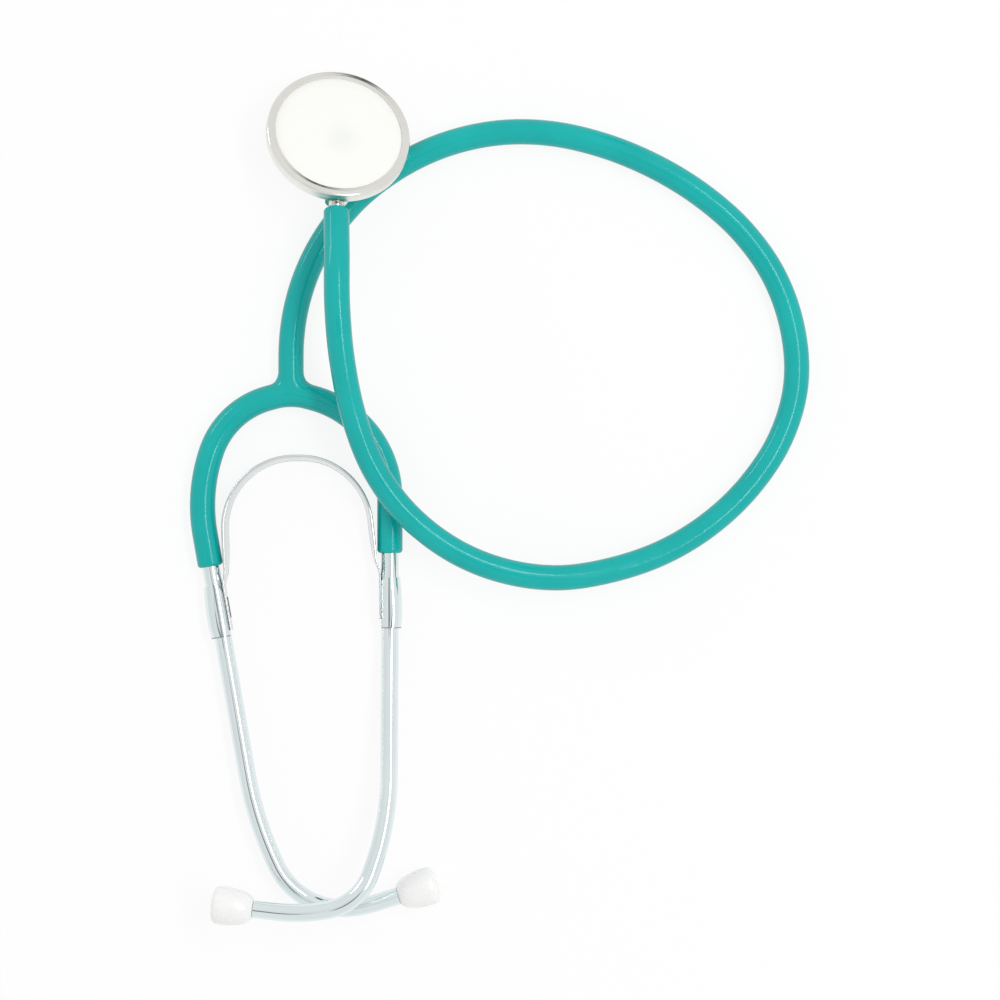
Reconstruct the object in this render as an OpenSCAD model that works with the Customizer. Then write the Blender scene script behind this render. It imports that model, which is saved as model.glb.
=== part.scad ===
// A single-head toy stethoscope lying on a table, seen from above as it was put down.
// The origin is on the table, below the middle of the rigid pieces. +Y points from the
// ear tips to the chestpiece, +X to the hose loop, +Z up.

/* [Hose and yoke] */
// Outer diameter of the hose and of the yoke's arms
hose_d = 8.4; // [7:0.1:9.5]
// Bore of the hose and of the yoke
hose_bore = 4.8; // [4:0.1:5.4]
// Length of the straight hose end that grips the stem
hose_end_l = 15.8; // [12:0.1:20]
// Length of the yoke's stem above its crotch
yoke_stem_l = 11.4; // [10:0.1:14]
// Length of the two straight stubs that carry the arms
yoke_stub_l = 7.7; // [7:0.1:9]
// Radius of the fillets where the arms leave the yoke's stem
crotch_r = 3.4; // [2:0.1:4]
// Thickness of the webs in the yoke's crotches
crotch_t = 5; // [3:0.1:6]
// Rounding of the arms' open ends
arm_end_r = 1.2; // [0.4:0.1:1.2]

/* [Left arm] */
// Direction in which the left arm leaves the yoke, from straight down
arm_left_heading = -75; // [-78:1:-72]
// Radius of the left arm's main bend
arm_left_bend_r = 27.3; // [26:0.1:29]
// Angle of the left arm's main bend
arm_left_bend = 56; // [54:1:58]
// Radius of the left arm's outward flare
arm_left_flare_r = 55; // [40:1:60]
// Angle of the left arm's outward flare
arm_left_flare = 29; // [27:1:31]
// Straight end of the left arm
arm_left_end = 10.8; // [10.5:0.1:14]

/* [Right arm] */
// Direction in which the right arm leaves the yoke, from straight down
arm_right_heading = 75; // [72:1:78]
// Radius of the right arm's bend
arm_right_bend_r = 34; // [32:0.1:36]
// Straight end of the right arm
arm_right_end = 18.3; // [12:0.1:20]

/* [Ear tubes] */
// Outer diameter of an ear tube
tube_d = 5.8; // [5:0.1:6.2]
// Wall of an ear tube
tube_wall = 0.6; // [0.4:0.1:0.8]
// Length of ear tube that is pushed into its arm
tube_grip = 10; // [6:0.5:10]
// Level stretch of an ear tube that carries the spring and its clip
clip_run = 27; // [25:0.5:30]
// Rise of the left ear tube toward its tip
left_rise = 1.4; // [0.8:0.1:2]
// Rise of the right ear tube, which crosses above the left one
right_rise = 9.5; // [9:0.1:11]
// Radius of the bend that starts the rise
rise_r = 40; // [30:1:60]
// Straight end of an ear tube, which holds the insert
tube_tip_l = 7; // [6:0.5:8]

/* [Left ear tube bends] */
// Straight shank of the left ear tube
shank_left = 41.3; // [38:0.1:42]
// Radius of the left tube's slow bend
slow_left_r = 116; // [100:1:130]
// Angle of the left tube's slow bend
slow_left = 15.8; // [14:0.1:18]
// Radius of the left tube's tight bend
tight_left_r = 24.6; // [20:0.1:30]
// Angle of the left tube's tight bend
tight_left = 71.2; // [70:0.1:75]
// Radius of the left tube's last bend
last_left_r = 46; // [40:1:60]
// Angle of the left tube's last bend
last_left = 10.8; // [8:0.1:16]

/* [Right ear tube bends] */
// Straight shank of the right ear tube
shank_right = 39; // [38:0.1:42]
// Radius of the right tube's slow bend
slow_right_r = 94; // [80:1:100]
// Angle of the right tube's slow bend
slow_right = 20.4; // [19:0.1:23]
// Radius of the right tube's tight bend
tight_right_r = 18.4; // [16:0.1:22]
// Angle of the right tube's tight bend
tight_right = 60.1; // [58:0.1:63]
// Radius of the right tube's last bend
last_right_r = 60; // [50:1:80]
// Angle of the right tube's last bend
last_right = 16.3; // [14:0.1:18]

/* [Ear tips] */
// Widest diameter of an ear tip
tip_d = 12.5; // [10:0.1:12.8]
// Length of an ear tip
tip_l = 13.2; // [11:0.1:15]
// Diameter of an ear tip's neck
tip_neck_d = 6.4; // [6.4:0.1:8]
// Diameter of the sound hole through an ear tip
tip_hole_d = 2.2; // [1.6:0.1:2.6]
// Outer diameter of the threaded insert in a tube's end
insert_d = 4.2; // [3.6:0.1:4.4]
// Length of the insert that stands out of the tube
insert_out = 7; // [5:0.5:8]
// Length of the insert inside the tube
insert_in = 6; // [4:0.5:6]

/* [Leaf spring] */
// Thickness of the spring strip
spring_t = 1; // [0.6:0.1:1.4]
// Width of the spring strip
spring_w = 6.5; // [5:0.1:7.5]
// Radius of the spring's two shoulders
spring_r = 23; // [18:0.1:23.4]
// Distance from the yoke's crotch to the top of the spring
spring_drop = 21.7; // [19:0.1:24]
// Lean of the spring's left leg
spring_left_lean = 2; // [1:0.5:3]
// Lean of the spring's right leg
spring_right_lean = 6.5; // [6:0.5:8]
// Length of each spring leg that lies against its ear tube
spring_seat_l = 19; // [14:0.5:20]
// Radius of the two kinks that step a leg over the end of its arm
spring_kink_r = 8; // [5:0.5:9]
// Angle of that step
spring_step = 22; // [18:1:26]
// Lean of the strip, which turns its inner face up
spring_lean = 11; // [6:1:14]

/* [Spring clips] */
// Length of a clip along its ear tube
clip_l = 16; // [12:0.5:17]
// Sheet thickness of a clip
clip_t = 0.5; // [0.4:0.1:0.8]
// Radius of the clip's bulge at its crown
clip_crown_r = 3.9; // [3.6:0.1:4]
// Distance from the tube's axis to the axis of the bulge
clip_offset = 1.1; // [0.8:0.1:1.4]
// Length of the hook that holds the spring strip
hook_l = 7; // [4:0.5:10]
// Height of the hook's turned-up lip
hook_h = 1.6; // [1.5:0.1:3]

/* [Chestpiece] */
// Outer diameter of the retaining ring
ring_d = 47.2; // [44:0.2:50]
// Height of the retaining ring
ring_h = 4.3; // [4:0.1:5.5]
// Width of the ring's front rim
rim_w = 2.7; // [2.2:0.1:3.2]
// Rounding of the rim's outer edge
rim_r = 1.1; // [0.6:0.1:1.2]
// Thickness of the rim in front of the diaphragm
rim_t = 0.6; // [0.4:0.1:0.9]
// Wall of the ring round the chestpiece body
ring_wall = 1.4; // [1.1:0.1:1.8]
// Depth of the ring's knurls
knurl_depth = 0.3; // [0.1:0.05:0.4]
// Number of knurls round the ring
knurl_count = 160; // [60:10:180]
// Thickness of the diaphragm
diaphragm_t = 0.5; // [0.3:0.05:0.8]
// Wall of the sound cup's rim, on which the diaphragm rests
cup_wall = 1.6; // [1.2:0.1:2.4]
// Thickness of the cup's floor above the stem's hole
cup_floor = 0.8; // [0.5:0.1:1.2]
// Diameter of the stem
stem_d = 5; // [4.9:0.1:5.4]
// Bore of the stem and of the chestpiece body
stem_bore = 2.2; // [1.6:0.1:2.6]
// Distance from the chestpiece's axis to the inner end of the stem
stem_root = 10; // [8:0.5:14]
// Length of stem that shows between the ring and the hose
stem_show = 0.6; // [0.4:0.1:3]
// Length of the stem's nipple inside the hose
nipple_l = 13; // [9:0.5:15]
// Number of barbs on the nipple
barb_count = 4; // [2:1:5]

/* [Lie of the chestpiece] */
// Chestpiece's place along X
chest_x = 7.4; // [6:0.1:9]
// Chestpiece's place along Y
chest_y = 115; // [113:0.5:117]
// Gap between the chestpiece's rim and the table, where the hose props it up
chest_lift = 0.3; // [0.2:0.05:1]
// Turn of the stem away from straight down
stem_yaw = 2; // [0:0.5:4]
// Rise of the stem from the chestpiece to the hose
stem_rise = 24.5; // [22:0.1:26]
// Roll of the chestpiece about its stem
chest_roll = 12.5; // [11:0.1:14]

/* [Hidden] */
$fn = 64;

// Clearances, and the overrun of every cut
running_gap = 0.05;
press_gap = 0.03;
seat_gap = 0.1;
face_gap = 0.2;
overrun = 1;

// Yoke
hose_r = hose_d / 2;
yoke_x = -7.6;
yoke_y = 33.6;
tube_sides = 24;
ROUND_STEP = 30;
socket_taper = 0.5;
RIM_STEP = 45;
WEB_STEPS = 5;

// Straight run, bend radius, turn and whether the bend goes up, for each stretch of a path
STRAIGHT = 0;
arm_path_left = [
    [0, arm_left_bend_r, arm_left_bend, false],
    [0, arm_left_flare_r, arm_left_flare, false]
];
arm_path_right = [[0, arm_right_bend_r, -arm_right_heading, false]];
tube_path_left = [
    [tube_grip + clip_run, rise_r, left_rise, true],
    [shank_left, slow_left_r, slow_left, false],
    [0, tight_left_r, tight_left, false],
    [0, last_left_r, last_left, false],
    [tube_tip_l, STRAIGHT, 0, false]
];
tube_path_right = [
    [tube_grip + clip_run, rise_r, right_rise, true],
    [shank_right, slow_right_r, -slow_right, false],
    [0, tight_right_r, -tight_right, false],
    [0, last_right_r, -last_right, false],
    [tube_tip_l, STRAIGHT, 0, false]
];

// A frame is [place, along, across, up]. These give the frame at a place and heading on the
// table, further along, aside, facing back, round a bend, at a path's end, and all frames along a path.
BEND_STEP = 6;
function level_frame(x, y, heading) = [
    [x, y, hose_r], [sin(heading), -cos(heading), 0], [cos(heading), sin(heading), 0], [0, 0, 1]
];
function ahead(f, d) = [f[0] + d * f[1], f[1], f[2], f[3]];
function aside(f, d) = [f[0] + d * f[2], f[1], f[2], f[3]];
function about_face(f) = [f[0], -f[1], -f[2], f[3]];
function round_bend(f, r, turn, lift) =
    let (
        k = turn < 0 ? -1 : 1,
        inward = k * (lift ? f[3] : f[2]),
        turned = cos(turn) * inward - k * sin(turn) * f[1],
        place = f[0] + r * (inward - turned),
        along = cos(turn) * f[1] + k * sin(turn) * inward
    )
    lift ? [place, along, f[2], k * turned] : [place, along, k * turned, f[3]];
function end_frame(f, path, i = 0) =
    i == len(path) ? f
    : end_frame(
        round_bend(ahead(f, path[i][0]), path[i][1], path[i][2], path[i][3]), path, i + 1
    );
function frames(f, path, i = 0) =
    i == len(path) ? [f]
    : let (
        bend = ahead(f, path[i][0]),
        r = path[i][1],
        turn = path[i][2],
        steps = ceil(abs(turn) / BEND_STEP)
    )
    concat(
        path[i][0] > 0 ? [f] : [],
        turn == 0 ? [] : [for (k = [0 : steps - 1]) round_bend(bend, r, turn * k / steps, path[i][3])],
        frames(round_bend(bend, r, turn, path[i][3]), path, i + 1)
    );
yoke_middle = level_frame(yoke_x, yoke_y, 90);
left_crotch = level_frame(yoke_x, yoke_y, arm_left_heading);
right_crotch = level_frame(yoke_x, yoke_y, arm_right_heading);
left_root = ahead(left_crotch, yoke_stub_l);
right_root = ahead(right_crotch, yoke_stub_l);
left_end = ahead(end_frame(left_root, arm_path_left), arm_left_end);
right_end = ahead(end_frame(right_root, arm_path_right), arm_right_end);
tube_left_start = ahead(left_end, -tube_grip);
tube_right_start = ahead(right_end, -tube_grip);
tube_left_end = end_frame(tube_left_start, tube_path_left);
tube_right_end = end_frame(tube_right_start, tube_path_right);

// Leaf spring: the tops of its two seats, the knees where its legs pass the arms' ends, the
// corners where its legs would meet the level of its top, and its path from foot to foot
spring_reach = tube_d / 2 + seat_gap + spring_t / 2;
spring_rise = spring_reach * sin(spring_lean);
spring_offset = spring_reach * cos(spring_lean);
knee_offset = hose_r + face_gap + spring_t / 2;
seat_start = 6.3;
knee_start = seat_start - (knee_offset - spring_offset) / tan(spring_step);
left_heading = arm_left_heading + arm_left_bend + arm_left_flare;
left_seat = aside(ahead(left_end, seat_start), spring_offset);
right_seat = aside(ahead(right_end, seat_start), -spring_offset);
left_knee = aside(ahead(left_end, knee_start), knee_offset);
right_knee = aside(ahead(right_end, knee_start), -knee_offset);
spring_y = yoke_y - spring_drop;
function leg_drop(knee) = spring_y - knee[0][1];
function corner_x(knee, lean) = knee[0][0] - leg_drop(knee) * tan(lean);
function half_bend(r, turn) = r * tan(abs(turn) / 2);
left_turn = spring_step - (left_heading - spring_left_lean);
right_turn = spring_step - spring_right_lean;
left_shoulder = 90 + spring_left_lean;
right_shoulder = 90 - spring_right_lean;
step_half = half_bend(spring_kink_r, spring_step);
step_l = (knee_offset - spring_offset) / sin(spring_step) - step_half;
spring_path = [
    [spring_seat_l - step_half, spring_kink_r, -spring_step, false],
    [step_l - half_bend(spring_kink_r, left_turn), spring_kink_r, left_turn, false],
    [
        leg_drop(left_knee) / cos(spring_left_lean) - half_bend(spring_kink_r, left_turn)
            - half_bend(spring_r, left_shoulder),
        spring_r, -left_shoulder, false
    ],
    [
        corner_x(right_knee, spring_right_lean) - corner_x(left_knee, spring_left_lean)
            - half_bend(spring_r, left_shoulder) - half_bend(spring_r, right_shoulder),
        spring_r, -right_shoulder, false
    ],
    [
        leg_drop(right_knee) / cos(spring_right_lean) - half_bend(spring_r, right_shoulder)
            - half_bend(spring_kink_r, right_turn),
        spring_kink_r, right_turn, false
    ],
    [step_l - half_bend(spring_kink_r, right_turn), spring_kink_r, -spring_step, false],
    [spring_seat_l - step_half, STRAIGHT, 0, false]
];
spring_foot = ahead(left_seat, spring_seat_l);
spring_start = level_frame(spring_foot[0][0], spring_foot[0][1], left_heading + 180);
function leaned(f) = [
    f[0] + spring_rise * f[3], f[1],
    cos(spring_lean) * f[2] - sin(spring_lean) * f[3],
    cos(spring_lean) * f[3] + sin(spring_lean) * f[2]
];

// Spring clips
clip_left_start = 6.2;
clip_right_start = 7.6;
clip_crown_share = 0.6;
clip_sag = 2;
hook_start_share = 0.3;

// Ear tip: height and radius from the neck to the rounded end
tip_shares = [
    [0, 0], [0.04, 0.22], [0.11, 0.44], [0.21, 0.65], [0.34, 0.82], [0.48, 0.93],
    [0.62, 0.99], [0.74, 1], [0.84, 0.96], [0.92, 0.84], [0.97, 0.62], [1, 0.3]
];

// Chestpiece, measured from the stem's axis along the head's own axis
ring_r = ring_d / 2;
face_r = ring_r - rim_w;
body_r = ring_r - ring_wall - running_gap;
stem_gap = 0.4;
ring_base = stem_d / 2 + stem_gap;
ring_top = ring_base + ring_h;
seat_z = ring_top - rim_t - running_gap - diaphragm_t;
floor_z = stem_d / 2 + cup_floor;
knurl_margin = 0.5;
thread_gap = 0.6;
boss_wall = 1.2;
back_shares = [[0, -0.58], [0.4, -0.52], [0.64, -0.26], [0.86, 0.1], [1, 0.32]];
back_profile = [for (p = back_shares) [p[0] * (body_r - press_gap), p[1] * ring_top]];
tilt = acos(cos(chest_roll) * cos(stem_rise));
lowest = max([
    for (p = concat(back_profile, [[ring_r, ring_base + knurl_margin]]))
        p[0] * sin(tilt) - p[1] * cos(tilt)
]);
chest_z = lowest + chest_lift;
hose_start = ring_r + stem_show;
barb_h = 0.12;
nipple_d = hose_bore - 2 * running_gap - 2 * barb_h;

// Route of the hose's centre line from the yoke to the chestpiece, and the rings along it
hose_sides = 12;
hose_route = [
    [-5.5, 63, 4.2], [1, 80, 4.2], [11.8, 95.1, 4.2], [25.4, 106.4, 4.2], [41.7, 114.7, 4.2],
    [59.5, 119, 4.2], [77.5, 119, 4.2], [95.5, 115, 4.2], [112.5, 108, 4.2], [128, 98.5, 4.2],
    [141.5, 86.5, 4.2], [152, 71.5, 4.2], [158, 54, 4.2], [159, 36, 4.2], [154, 18.5, 4.2],
    [144, 3, 4.2], [131, -9.5, 4.8], [115.5, -19, 6.1], [98, -25, 8.2], [80, -27.5, 10.6],
    [62, -25, 12.8], [45.5, -18, 14.4], [31, -6.5, 15.7], [20.5, 8, 17.8], [14, 25, 21.6],
    [10.5, 42.5, 26], [9, 60, 28.4]
];
stem_way = [
    sin(stem_yaw) * cos(stem_rise), -cos(stem_yaw) * cos(stem_rise), sin(stem_rise)
];
hose_from = [yoke_x, yoke_y + yoke_stem_l, hose_r];
hose_to = [chest_x, chest_y, chest_z] + (hose_start + hose_end_l) * stem_way;
hose_points = concat([hose_from], hose_route, [hose_to]);
hose_last = len(hose_points) - 1;
function unit(v) = v / norm(v);
function hose_way(i) =
    i == 0 ? [0, 1, 0]
    : i == hose_last ? -stem_way
    : unit(hose_points[i + 1] - hose_points[i - 1]);
hose_frames = [
    for (i = [0 : hose_last])
        let (along = hose_way(i), across = unit(cross([0, 0, 1], along)))
        [hose_points[i], along, across, cross(along, across)]
];

// Rings of points round frames: a circle, and a rectangle across and up
function round_ring(f, r, sides, from = 0) = [
    for (k = [0 : sides - 1])
        let (a = from + 360 * k / sides)
        f[0] + r * cos(a) * f[2] + r * sin(a) * f[3]
];
function strip_ring(f, t, w) = [
    for (c = [[1, 1], [-1, 1], [-1, -1], [1, -1]]) f[0] + c[0] * t / 2 * f[2] + c[1] * w / 2 * f[3]
];

// Skins a row of rings as one solid, hollow where there are inner rings
module skin(outer, inner = []) {
    n = len(outer[0]);
    last = (len(outer) - 1) * n;
    in0 = len(outer) * n;
    in_last = in0 + (len(inner) - 1) * n;
    function wall(first, rings) = [
        for (i = [0 : rings - 2], k = [0 : n - 1])
            let (a = first + i * n + k, b = first + i * n + (k + 1) % n)
            each [[a, b + n, a + n], [a, b, b + n]]
    ];
    function flipped(faces) = [for (f = faces) [f[0], f[2], f[1]]];
    solid_ends = [[for (k = [0 : n - 1]) k], [for (k = [n - 1 : -1 : 0]) last + k]];
    hollow_ends = [
        for (k = [0 : n - 1])
            let (m = (k + 1) % n)
            each [
                [k, m, in0 + m], [k, in0 + m, in0 + k],
                [last + k, in_last + m, last + m], [last + k, in_last + k, in_last + m]
            ]
    ];
    polyhedron(
        points = [for (r = concat(outer, inner)) each r],
        faces = concat(
            flipped(wall(0, len(outer))),
            len(inner) == 0 ? solid_ends : concat(wall(in0, len(inner)), hollow_ends)
        ),
        convexity = 8
    );
}

// Skins rings that come round to the first one again
module hoop(rings) {
    n = len(rings[0]);
    count = len(rings);
    polyhedron(
        points = [for (r = rings) each r],
        faces = [
            for (i = [0 : count - 1], k = [0 : n - 1])
                let (
                    a = i * n + k,
                    b = i * n + (k + 1) % n,
                    c = (i + 1) % count * n + k,
                    d = (i + 1) % count * n + (k + 1) % n
                )
                each [[a, c, d], [a, d, b]]
        ],
        convexity = 8
    );
}

// Places a piece that is built along +Z, with +X across and +Y up
module at(f) {
    multmatrix([
        for (i = [0 : 2]) [f[2][i], f[3][i], f[1][i], f[0][i]]
    ])
        children();
}

module at_chest(roll) {
    translate([chest_x, chest_y, chest_z])
        rotate([0, 0, stem_yaw])
            rotate([-stem_rise, 0, 0])
                rotate([0, roll, 0])
                    children();
}

// Lays a piece that is built along +Z along the stem, away from the head
module along_stem(d) {
    rotate([90, 0, 0])
        translate([0, 0, d])
            children();
}

// Yoke: its stem, and the two stubs as one tube that is bent in the middle
module yoke_tubes(d, past_end = 0) {
    stubs = [
        about_face(ahead(left_crotch, yoke_stub_l + past_end)),
        yoke_middle,
        ahead(right_crotch, yoke_stub_l + past_end)
    ];
    stem = level_frame(yoke_x, yoke_y, 180);
    skin([for (f = stubs) round_ring(f, d / 2, tube_sides)]);
    skin([
        for (f = [stem, ahead(stem, yoke_stem_l + past_end)])
            round_ring(f, d / 2, tube_sides, 180 / tube_sides)
    ]);
}

// Half of the webs' outline: a fillet between the stem and a stub, and its foot on the stub's axis
function web_side(heading) =
    let (reach = hose_r + crotch_r, rise = reach * tan(heading / 2))
    concat(
        [
            for (k = [0 : WEB_STEPS])
                let (a = heading * k / WEB_STEPS)
                [reach - crotch_r * cos(a), rise - crotch_r * sin(a)]
        ],
        [[reach * (1 - cos(heading)), rise - reach * sin(heading)]]
    );

module crotch_webs() {
    right = web_side(arm_right_heading);
    left = web_side(-arm_left_heading);
    translate([yoke_x, yoke_y, hose_r - crotch_t / 2])
        linear_extrude(crotch_t)
            polygon(concat(
                [for (k = [len(right) - 1 : -1 : 0]) right[k]],
                [for (p = left) [-p[0], p[1]]],
                [[0, -hose_r / 2]]
            ));
}

module yoke_junction() {
    color("lightseagreen")
        difference() {
            union() {
                yoke_tubes(hose_d);
                crotch_webs();
            }
            yoke_tubes(hose_bore, overrun);
        }
}

module arm(start, path, mouth) {
    socket_r = tube_d / 2 + press_gap;
    outer = concat(
        [for (f = frames(start, path)) round_ring(f, hose_r, tube_sides)],
        [
            for (a = [0 : ROUND_STEP : 90])
                round_ring(
                    ahead(mouth, arm_end_r * (sin(a) - 1)),
                    hose_r - arm_end_r * (1 - cos(a)), tube_sides
                )
        ]
    );
    inner = concat(
        [for (f = frames(start, path)) round_ring(f, hose_bore / 2, tube_sides)],
        [
            round_ring(ahead(mouth, -tube_grip - socket_taper), hose_bore / 2, tube_sides),
            round_ring(ahead(mouth, -tube_grip), socket_r, tube_sides),
            round_ring(mouth, socket_r, tube_sides)
        ]
    );
    color("lightseagreen")
        skin(outer, inner);
}

module arm_left() {
    arm(left_root, arm_path_left, left_end);
}

module arm_right() {
    arm(right_root, arm_path_right, right_end);
}

// Hose
module chest_hose() {
    color("lightseagreen")
        skin(
            [for (f = hose_frames) round_ring(f, hose_r, hose_sides)],
            [for (f = hose_frames) round_ring(f, hose_bore / 2, hose_sides)]
        );
}

module hose_end() {
    color("lightseagreen")
        at_chest(0)
            along_stem(hose_start)
                difference() {
                    cylinder(d = hose_d, h = hose_end_l);
                    translate([0, 0, -overrun])
                        cylinder(d = hose_bore, h = hose_end_l + 2 * overrun);
                }
}

// Chestpiece
module head_body() {
    boss_r = stem_d / 2 + boss_wall;
    color("silver")
        at_chest(chest_roll)
            difference() {
                union() {
                    rotate_extrude()
                        polygon(concat(
                            back_profile,
                            [[body_r, ring_base + thread_gap], [body_r, seat_z], [0, seat_z]]
                        ));
                    intersection() {
                        along_stem(stem_root - boss_wall)
                            cylinder(r = boss_r, h = body_r);
                        translate([0, 0, -boss_r])
                            cylinder(r = body_r - press_gap, h = boss_r + ring_base - seat_gap);
                    }
                }
                translate([0, 0, floor_z])
                    cylinder(r1 = stem_root, r2 = body_r - cup_wall, h = seat_z - floor_z);
                translate([0, 0, seat_z])
                    cylinder(r = body_r - cup_wall, h = overrun);
                cylinder(d = stem_bore, h = floor_z + overrun);
                along_stem(0)
                    cylinder(d = stem_bore, h = stem_root + overrun);
                along_stem(stem_root)
                    cylinder(d = stem_d + 2 * press_gap, h = body_r);
            }
}

module chest_stem() {
    shank_l = hose_start - stem_root - face_gap;
    barb_l = nipple_l / barb_count;
    barb_d = nipple_d + 2 * barb_h;
    color("silver")
        at_chest(chest_roll)
            along_stem(stem_root)
                difference() {
                    union() {
                        cylinder(d = stem_d, h = shank_l);
                        cylinder(d = nipple_d, h = shank_l + nipple_l);
                        for (k = [0 : barb_count - 1])
                            translate([0, 0, shank_l + k * barb_l])
                                cylinder(d1 = barb_d, d2 = nipple_d, h = barb_l);
                    }
                    translate([0, 0, -overrun])
                        cylinder(d = stem_bore, h = shank_l + nipple_l + 2 * overrun);
                }
}

module diaphragm() {
    color("white")
        at_chest(chest_roll)
            translate([0, 0, seat_z])
                cylinder(r = body_r - press_gap, h = diaphragm_t);
}

// Retaining ring: its outline in each half plane, with every second one in a knurl's valley
module retaining_ring() {
    inner_r = body_r + running_gap;
    band_top = ring_top - rim_r - knurl_margin;
    rows = [
        for (k = [0 : 2 * knurl_count - 1])
            let (a = 180 * k / knurl_count, r = ring_r - (k % 2) * knurl_depth)
            [
                for (
                    p = concat(
                        [[inner_r, ring_base], [r, ring_base], [r, band_top], [ring_r, band_top]],
                        [
                            for (t = [0 : RIM_STEP : 90])
                                [ring_r - rim_r * (1 - cos(t)), ring_top - rim_r * (1 - sin(t))]
                        ],
                        [[face_r, ring_top], [face_r, ring_top - rim_t], [inner_r, ring_top - rim_t]]
                    )
                )
                    [p[0] * cos(a), p[0] * sin(a), p[1]]
            ]
    ];
    color("silver")
        at_chest(chest_roll)
            hoop(rows);
}

// Leaf spring and its clips
module leaf_spring() {
    color("silver")
        skin([
            for (f = frames(spring_start, spring_path)) strip_ring(leaned(f), spring_t, spring_w)
        ]);
}

module bulge(inset) {
    before = clip_l * clip_crown_share;
    arc_r = (before * before + clip_sag * clip_sag) / (2 * clip_sag);
    rotate_extrude()
        intersection() {
            translate([clip_crown_r - arc_r, before])
                circle(r = arc_r - inset);
            square([clip_crown_r, clip_l]);
        }
}

module spring_clip(side, start) {
    tube_r = tube_d / 2 + press_gap;
    lip_x = spring_reach + spring_t / 2 + press_gap;
    under = max(spring_w / 2, tube_r) + press_gap;
    translate([0, 0, start]) {
        difference() {
            translate([side * clip_offset, 0, 0])
                difference() {
                    bulge(0);
                    bulge(clip_t);
                }
            translate([0, 0, -overrun])
                cylinder(r = tube_r, h = clip_l + 2 * overrun);
            translate([side < 0 ? 0 : -2 * clip_crown_r, -2 * clip_crown_r, -overrun])
                cube([2 * clip_crown_r, 4 * clip_crown_r, clip_l + 2 * overrun]);
        }
        translate([0, 0, clip_l * hook_start_share])
            rotate([0, 0, -side * spring_lean]) {
                translate([side < 0 ? -clip_offset : -lip_x - clip_t, -under - clip_t, 0])
                    cube([lip_x + clip_t + clip_offset, clip_t, hook_l]);
                translate([side < 0 ? lip_x : -lip_x - clip_t, -under - clip_t, 0])
                    cube([clip_t, hook_h, hook_l]);
            }
    }
}

module spring_clip_left() {
    color("silver")
        at(left_end)
            spring_clip(-1, clip_left_start);
}

module spring_clip_right() {
    color("silver")
        at(right_end)
            spring_clip(1, clip_right_start);
}

// Ear tubes, their threaded inserts and their tips
module ear_tube(start, path) {
    row = frames(start, path);
    color("silver")
        skin(
            [for (f = row) round_ring(f, tube_d / 2, tube_sides)],
            [for (f = row) round_ring(f, tube_d / 2 - tube_wall, tube_sides)]
        );
}

module tip_insert(tube_end) {
    color("goldenrod")
        at(tube_end)
            difference() {
                union() {
                    translate([0, 0, -insert_in])
                        cylinder(d = tube_d - 2 * tube_wall - 2 * press_gap, h = insert_in);
                    cylinder(d = insert_d, h = insert_out);
                }
                translate([0, 0, -insert_in - overrun])
                    cylinder(d = tip_hole_d, h = insert_in + insert_out + 2 * overrun);
            }
}

module ear_tip(tube_end) {
    neck_r = tip_neck_d / 2;
    swell = tip_d / 2 - neck_r;
    hole_r = tip_hole_d / 2;
    socket = insert_out + face_gap;
    color("white")
        at(ahead(tube_end, face_gap))
            difference() {
                rotate_extrude()
                    polygon(concat(
                        [for (p = tip_shares) [neck_r + p[1] * swell, p[0] * tip_l]],
                        [[hole_r, tip_l], [0, tip_l], [0, 0]]
                    ));
                translate([0, 0, -overrun])
                    cylinder(d = insert_d + 2 * running_gap, h = socket + overrun);
                translate([0, 0, -overrun])
                    cylinder(d = tip_hole_d, h = tip_l + 2 * overrun);
            }
}

module ear_tube_left() {
    ear_tube(tube_left_start, tube_path_left);
}

module ear_tube_right() {
    ear_tube(tube_right_start, tube_path_right);
}

module tip_insert_left() {
    tip_insert(tube_left_end);
}

module tip_insert_right() {
    tip_insert(tube_right_end);
}

module ear_tip_left() {
    ear_tip(tube_left_end);
}

module ear_tip_right() {
    ear_tip(tube_right_end);
}

yoke_junction();
arm_left();
arm_right();
chest_hose();
hose_end();
head_body();
chest_stem();
diaphragm();
retaining_ring();
leaf_spring();
spring_clip_left();
spring_clip_right();
ear_tube_left();
ear_tube_right();
tip_insert_left();
tip_insert_right();
ear_tip_left();
ear_tip_right();
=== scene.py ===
import math

import bmesh
import bpy
from mathutils import Matrix, Vector


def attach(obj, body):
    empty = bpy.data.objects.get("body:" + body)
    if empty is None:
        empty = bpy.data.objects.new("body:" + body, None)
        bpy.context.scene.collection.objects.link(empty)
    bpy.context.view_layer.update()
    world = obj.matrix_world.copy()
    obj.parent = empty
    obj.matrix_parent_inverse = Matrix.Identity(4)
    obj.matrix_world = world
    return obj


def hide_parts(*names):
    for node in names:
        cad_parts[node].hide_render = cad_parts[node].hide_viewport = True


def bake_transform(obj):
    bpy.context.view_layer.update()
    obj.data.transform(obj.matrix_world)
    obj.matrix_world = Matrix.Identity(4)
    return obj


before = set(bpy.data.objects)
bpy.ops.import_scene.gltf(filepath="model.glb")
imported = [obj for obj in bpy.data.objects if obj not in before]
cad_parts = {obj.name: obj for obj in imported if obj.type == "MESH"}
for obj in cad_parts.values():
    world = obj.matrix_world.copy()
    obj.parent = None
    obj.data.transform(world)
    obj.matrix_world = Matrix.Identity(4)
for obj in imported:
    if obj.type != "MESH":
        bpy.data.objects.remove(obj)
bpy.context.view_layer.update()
scene = bpy.context.scene
MM = 0.001

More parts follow.
